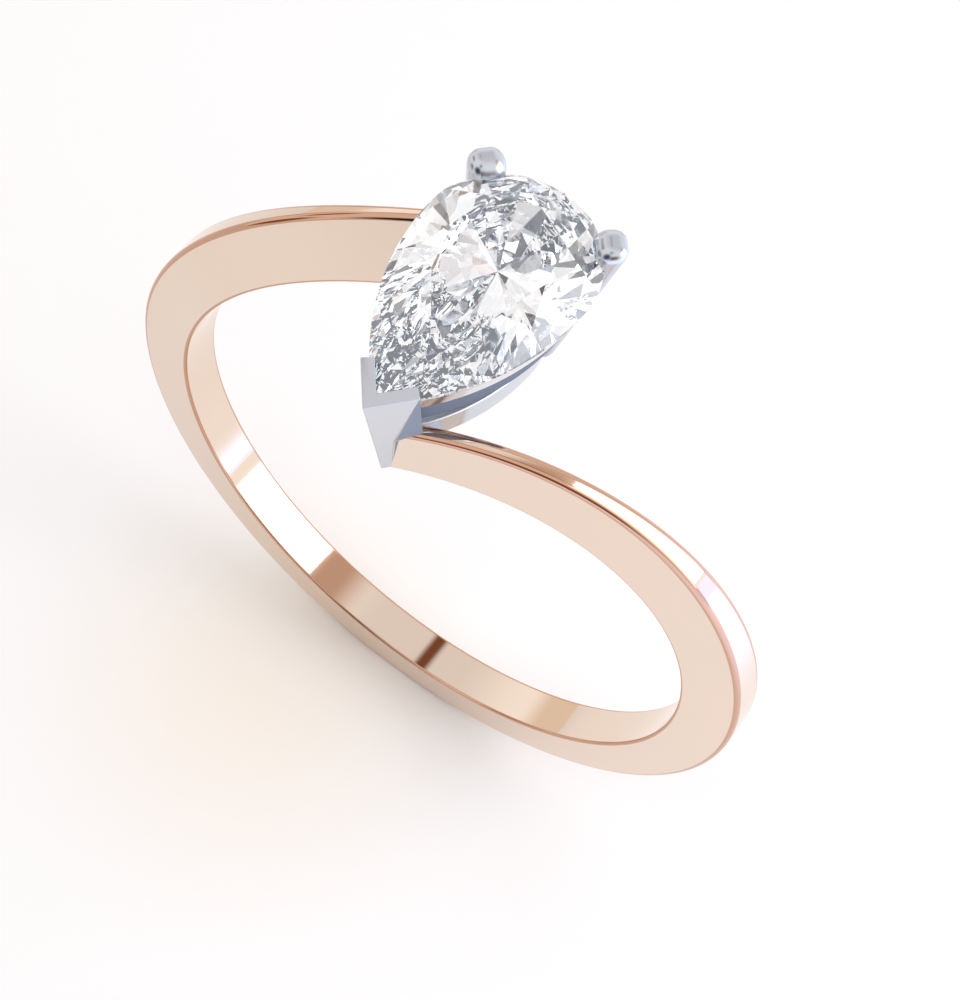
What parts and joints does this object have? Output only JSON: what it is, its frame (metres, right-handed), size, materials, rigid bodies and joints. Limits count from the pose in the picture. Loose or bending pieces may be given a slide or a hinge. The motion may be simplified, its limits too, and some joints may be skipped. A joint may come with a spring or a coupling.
{
  "type": "engagement ring",
  "caption": "Bypass solitaire ring: a rose-gold band whose two shoulders sweep past a white-metal claw head that holds a pear-cut stone.",
  "frame": {"origin": "centre of the finger bore", "axes": "+Y along the finger, +Z from the finger towards the stone, +X to the shoulder that sweeps to the front"},
  "size_m": [0.0198, 0.0084, 0.0229],
  "materials": {
    "rose_gold": "high polish rose gold",
    "white_metal": "high polish white gold or platinum",
    "diamond": "polished, colourless"
  },
  "bodies": {
    "root": {"shank": "rose_gold", "v_claw": "white_metal", "claw_left": "white_metal", "claw_right": "white_metal", "girdle_rail": "white_metal", "base_rail": "white_metal", "pear_diamond": "diamond"}
  },
  "joints": []
}
